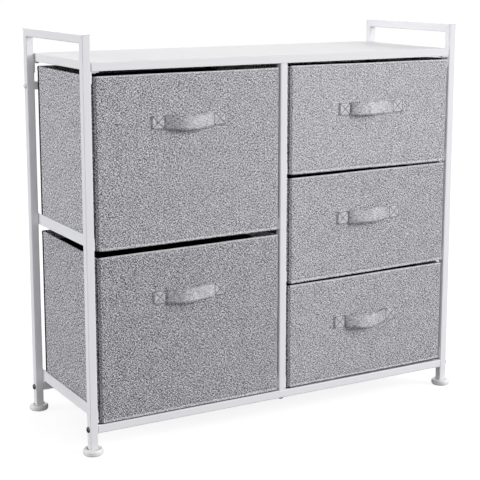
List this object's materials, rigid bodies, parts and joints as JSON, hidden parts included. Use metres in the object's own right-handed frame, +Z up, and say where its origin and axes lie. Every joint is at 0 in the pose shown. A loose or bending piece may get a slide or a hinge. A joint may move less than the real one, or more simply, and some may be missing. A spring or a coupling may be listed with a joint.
{
  "type": "fabric drawer dresser",
  "caption": "Low dresser: white square-tube steel frame with a laminated top board and pull-out fabric drawers in two columns, each with a sewn strap handle, on round feet.",
  "frame": {"origin": "on the floor, at the centre of the bottom of the whole bounding box", "axes": "+Z up; -Y towards the drawer fronts; +X to the right when seen from the front"},
  "size_m": [0.862, 0.3285, 0.784],
  "materials": {
    "white_steel": "white powder coat, satin",
    "board_laminate": "white laminated particle board with edge band, satin",
    "foot_plastic": "moulded white plastic, matt",
    "bolt_steel": "zinc plated",
    "drawer_fabric": "heather grey woven linen-look polyester",
    "strap_fabric": "folded strap of the same cloth, box-and-cross stitched",
    "stiff_board": "thin raw fibreboard, inside fabric pockets or loose on the drawer floor"
  },
  "bodies": {
    "frame": {"left_front_post": "white_steel", "left_rear_post": "white_steel", "left_top_rail": "white_steel", "left_front_foot": "foot_plastic", "left_rear_foot": "foot_plastic", "right_front_post": "white_steel", "right_rear_post": "white_steel", "right_top_rail": "white_steel", "right_front_foot": "foot_plastic", "right_rear_foot": "foot_plastic", "front_bottom_rail": "white_steel", "rear_bottom_rail": "white_steel", "rear_top_rail": "white_steel", "center_front_post": "white_steel", "center_rear_post": "white_steel", "tube_end_plugs": "foot_plastic", "frame_bolts": "bolt_steel", "top_board": "board_laminate", "board_brackets": "white_steel", "board_screws": "bolt_steel", "left_lower_runner": "white_steel", "center_left_lower_runner": "white_steel", "left_upper_runner": "white_steel", "center_left_upper_runner": "white_steel", "right_lower_runner": "white_steel", "center_right_lower_runner": "white_steel", "right_middle_runner": "white_steel", "center_right_middle_runner": "white_steel", "right_upper_runner": "white_steel", "center_right_upper_runner": "white_steel"},
    "lower_left_drawer": {"lower_left_drawer_front_panel": "drawer_fabric", "lower_left_drawer_bin": "drawer_fabric", "lower_left_drawer_stiffeners": "stiff_board", "lower_left_drawer_base_board": "stiff_board", "lower_left_drawer_handle": "strap_fabric"},
    "upper_left_drawer": {"upper_left_drawer_front_panel": "drawer_fabric", "upper_left_drawer_bin": "drawer_fabric", "upper_left_drawer_stiffeners": "stiff_board", "upper_left_drawer_base_board": "stiff_board", "upper_left_drawer_handle": "strap_fabric"},
    "lower_right_drawer": {"lower_right_drawer_front_panel": "drawer_fabric", "lower_right_drawer_bin": "drawer_fabric", "lower_right_drawer_stiffeners": "stiff_board", "lower_right_drawer_base_board": "stiff_board", "lower_right_drawer_handle": "strap_fabric"},
    "middle_right_drawer": {"middle_right_drawer_front_panel": "drawer_fabric", "middle_right_drawer_bin": "drawer_fabric", "middle_right_drawer_stiffeners": "stiff_board", "middle_right_drawer_base_board": "stiff_board", "middle_right_drawer_handle": "strap_fabric"},
    "upper_right_drawer": {"upper_right_drawer_front_panel": "drawer_fabric", "upper_right_drawer_bin": "drawer_fabric", "upper_right_drawer_stiffeners": "stiff_board", "upper_right_drawer_base_board": "stiff_board", "upper_right_drawer_handle": "strap_fabric"}
  },
  "joints": [
    {"name": "lower_left_drawer_slide", "type": "slide", "parent": "frame", "child": "lower_left_drawer", "axis": [0, -1, 0], "range_m": [0, 0.22]},
    {"name": "upper_left_drawer_slide", "type": "slide", "parent": "frame", "child": "upper_left_drawer", "axis": [0, -1, 0], "range_m": [0, 0.22]},
    {"name": "lower_right_drawer_slide", "type": "slide", "parent": "frame", "child": "lower_right_drawer", "axis": [0, -1, 0], "range_m": [0, 0.22]},
    {"name": "middle_right_drawer_slide", "type": "slide", "parent": "frame", "child": "middle_right_drawer", "axis": [0, -1, 0], "range_m": [0, 0.22]},
    {"name": "upper_right_drawer_slide", "type": "slide", "parent": "frame", "child": "upper_right_drawer", "axis": [0, -1, 0], "range_m": [0, 0.22]}
  ]
}
